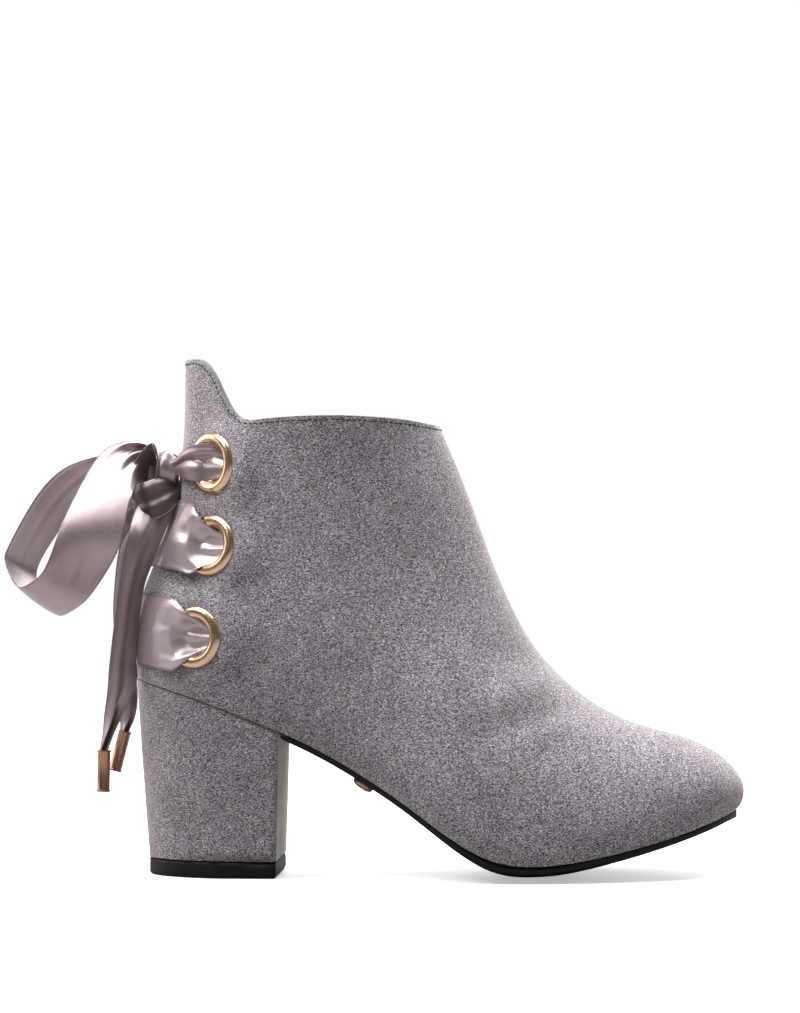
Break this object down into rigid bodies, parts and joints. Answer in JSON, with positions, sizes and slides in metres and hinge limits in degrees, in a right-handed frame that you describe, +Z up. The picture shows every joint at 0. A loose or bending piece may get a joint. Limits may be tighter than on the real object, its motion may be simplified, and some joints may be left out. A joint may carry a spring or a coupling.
{
  "type": "lace up heeled ankle boot",
  "caption": "Grey suede ankle boot with a block heel, laced up the back with satin ribbon through brass eyelets and tied in a bow.",
  "frame": {"origin": "on the floor, at the centre of the heel's top piece", "axes": "+X to the toe, +Y to the inner side of the foot, +Z up"},
  "size_m": [0.2869, 0.0923, 0.1977],
  "materials": {
    "grey_suede": "suede",
    "black_rubber": "satin",
    "insole_lining": "smooth",
    "polished_brass": "polished",
    "satin_ribbon": "satin",
    "brushed_copper": "brushed"
  },
  "bodies": {
    "root": {"upper": "grey_suede", "outsole": "black_rubber", "insole": "insole_lining", "heel_block": "grey_suede", "top_piece": "black_rubber", "eyelet_low_left": "polished_brass", "eyelet_low_right": "polished_brass", "eyelet_mid_left": "polished_brass", "eyelet_mid_right": "polished_brass", "eyelet_top_left": "polished_brass", "eyelet_top_right": "polished_brass", "lace_bar_low": "satin_ribbon", "lace_bar_mid": "satin_ribbon", "lace_knot": "satin_ribbon", "lace_loop_left": "satin_ribbon", "lace_loop_right": "satin_ribbon", "lace_strand_left": "satin_ribbon", "lace_strand_right": "satin_ribbon", "lace_tail_left": "satin_ribbon", "lace_tail_right": "satin_ribbon", "aglet_left": "brushed_copper", "aglet_right": "brushed_copper", "sole_plate": "polished_brass"}
  },
  "joints": []
}
